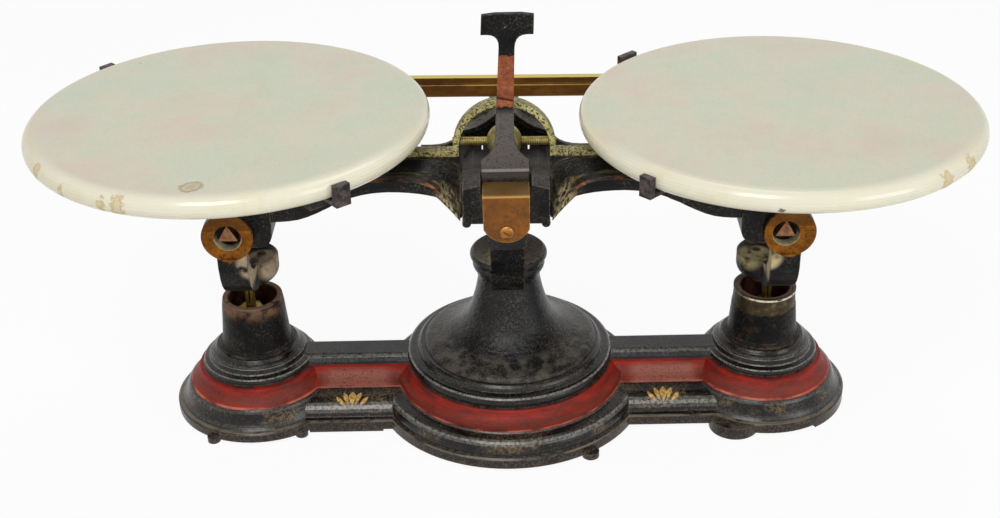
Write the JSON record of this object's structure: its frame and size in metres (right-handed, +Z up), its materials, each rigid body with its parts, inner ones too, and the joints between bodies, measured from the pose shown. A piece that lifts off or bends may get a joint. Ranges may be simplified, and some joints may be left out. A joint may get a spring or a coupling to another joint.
{
  "type": "equal-arm trip balance",
  "caption": "Counter balance with two round white plates on upright hangers, a cast beam on knife edges, a check rod in the moulded base, and a T-headed index post.",
  "frame": {"origin": "middle of the base, on the surface that its feet stand on", "axes": "+X to the right along the beam, +Y away from the side with the gilt ornaments and the index post's cover, +Z up"},
  "size_m": [0.3642, 0.1536, 0.1736],
  "materials": {
    "black_enamel": "worn gloss black enamel over cast iron, with a dull red band",
    "black_iron": "black paint over cast iron, rubbed at the edges",
    "post_iron": "black paint over cast iron, brown where it is bare",
    "index_paint": "flat black head and brick red stem, worn",
    "gilt": "gold bronze paint, tarnished",
    "strap_gilt": "speckled yellow gold bronze paint",
    "brass": "dull olive brass",
    "bar_brass": "brown tarnished brass with bright edges",
    "collar_brass": "tarnished, with a bright rim",
    "steel": "dark oiled steel",
    "knife_steel": "rusty brown steel",
    "white_plate": "opaque white glaze, lightly stained"
  },
  "bodies": {
    "base": {"base_casting": "black_enamel", "left_post": "post_iron", "right_post": "post_iron", "post_collar": "collar_brass", "pedestal": "black_enamel", "pedestal_screws": "steel", "check_bracket": "steel", "check_bracket_screws": "steel", "check_pin": "steel", "bearing_blocks": "steel", "front_cover": "gilt", "rear_cover": "gilt", "cover_screws": "gilt", "index_post": "index_paint", "rear_cap": "black_iron"},
    "beam": {"beam_casting": "black_iron", "center_knife": "steel", "left_knife": "knife_steel", "right_knife": "knife_steel", "arch_strap": "strap_gilt", "strap_screws": "brass", "adjusting_rod": "brass", "pointer": "black_iron", "bar_bracket": "black_iron", "bracket_screws": "steel", "graduated_bar": "bar_brass", "bar_end_brackets": "black_iron", "bar_screws": "steel"},
    "adjusting_nut": {"adjusting_nut": "brass"},
    "poise": {"poise": "bar_brass", "poise_screw": "brass"},
    "left_hanger": {"left_hanger": "black_iron", "left_stem": "brass", "left_locknut": "brass", "left_stem_pin": "steel", "left_spider": "black_iron", "left_spider_screws": "steel"},
    "right_hanger": {"right_hanger": "black_iron", "right_stem": "brass", "right_locknut": "brass", "right_stem_pin": "steel", "right_spider": "black_iron", "right_spider_screws": "steel"},
    "left_plate": {"left_plate": "white_plate"},
    "right_plate": {"right_plate": "white_plate"},
    "check_rod": {"check_rod": "steel"}
  },
  "joints": [
    {"name": "beam_tilt", "type": "hinge", "parent": "base", "child": "beam", "pos_m": [0, 0, 0.0995], "axis": [0, 1, 0], "range_deg": [-3.65, 2.35]},
    {"name": "left_hanger_level", "type": "hinge", "parent": "beam", "child": "left_hanger", "pos_m": [-0.10533, 0, 0.0971], "axis": [0, 1, 0], "range_deg": [-2.35, 3.65]},
    {"name": "right_hanger_level", "type": "hinge", "parent": "beam", "child": "right_hanger", "pos_m": [0.10525, 0, 0.09471], "axis": [0, 1, 0], "range_deg": [-2.35, 3.65]},
    {"name": "check_rod_tilt", "type": "hinge", "parent": "base", "child": "check_rod", "pos_m": [0, 0, 0.0146], "axis": [0, 1, 0], "range_deg": [-3.65, 2.35]},
    {"name": "nut_travel", "type": "slide", "parent": "beam", "child": "adjusting_nut", "axis": [0.9999, 0, -0.0113], "range_m": [-0.009, 0.009]},
    {"name": "poise_travel", "type": "slide", "parent": "beam", "child": "poise", "axis": [0.9999, 0, -0.0113], "range_m": [-0.008, 0.132]},
    {"name": "left_plate_lift", "type": "slide", "parent": "left_hanger", "child": "left_plate", "axis": [0, 0, 1], "range_m": [0, 0.03]},
    {"name": "right_plate_lift", "type": "slide", "parent": "right_hanger", "child": "right_plate", "axis": [0, 0, 1], "range_m": [0, 0.03]}
  ],
  "couplings": [
    {"joint": "left_hanger_level", "follows": "beam_tilt", "ratio": -1},
    {"joint": "right_hanger_level", "follows": "beam_tilt", "ratio": -1},
    {"joint": "check_rod_tilt", "follows": "beam_tilt", "ratio": 1}
  ]
}
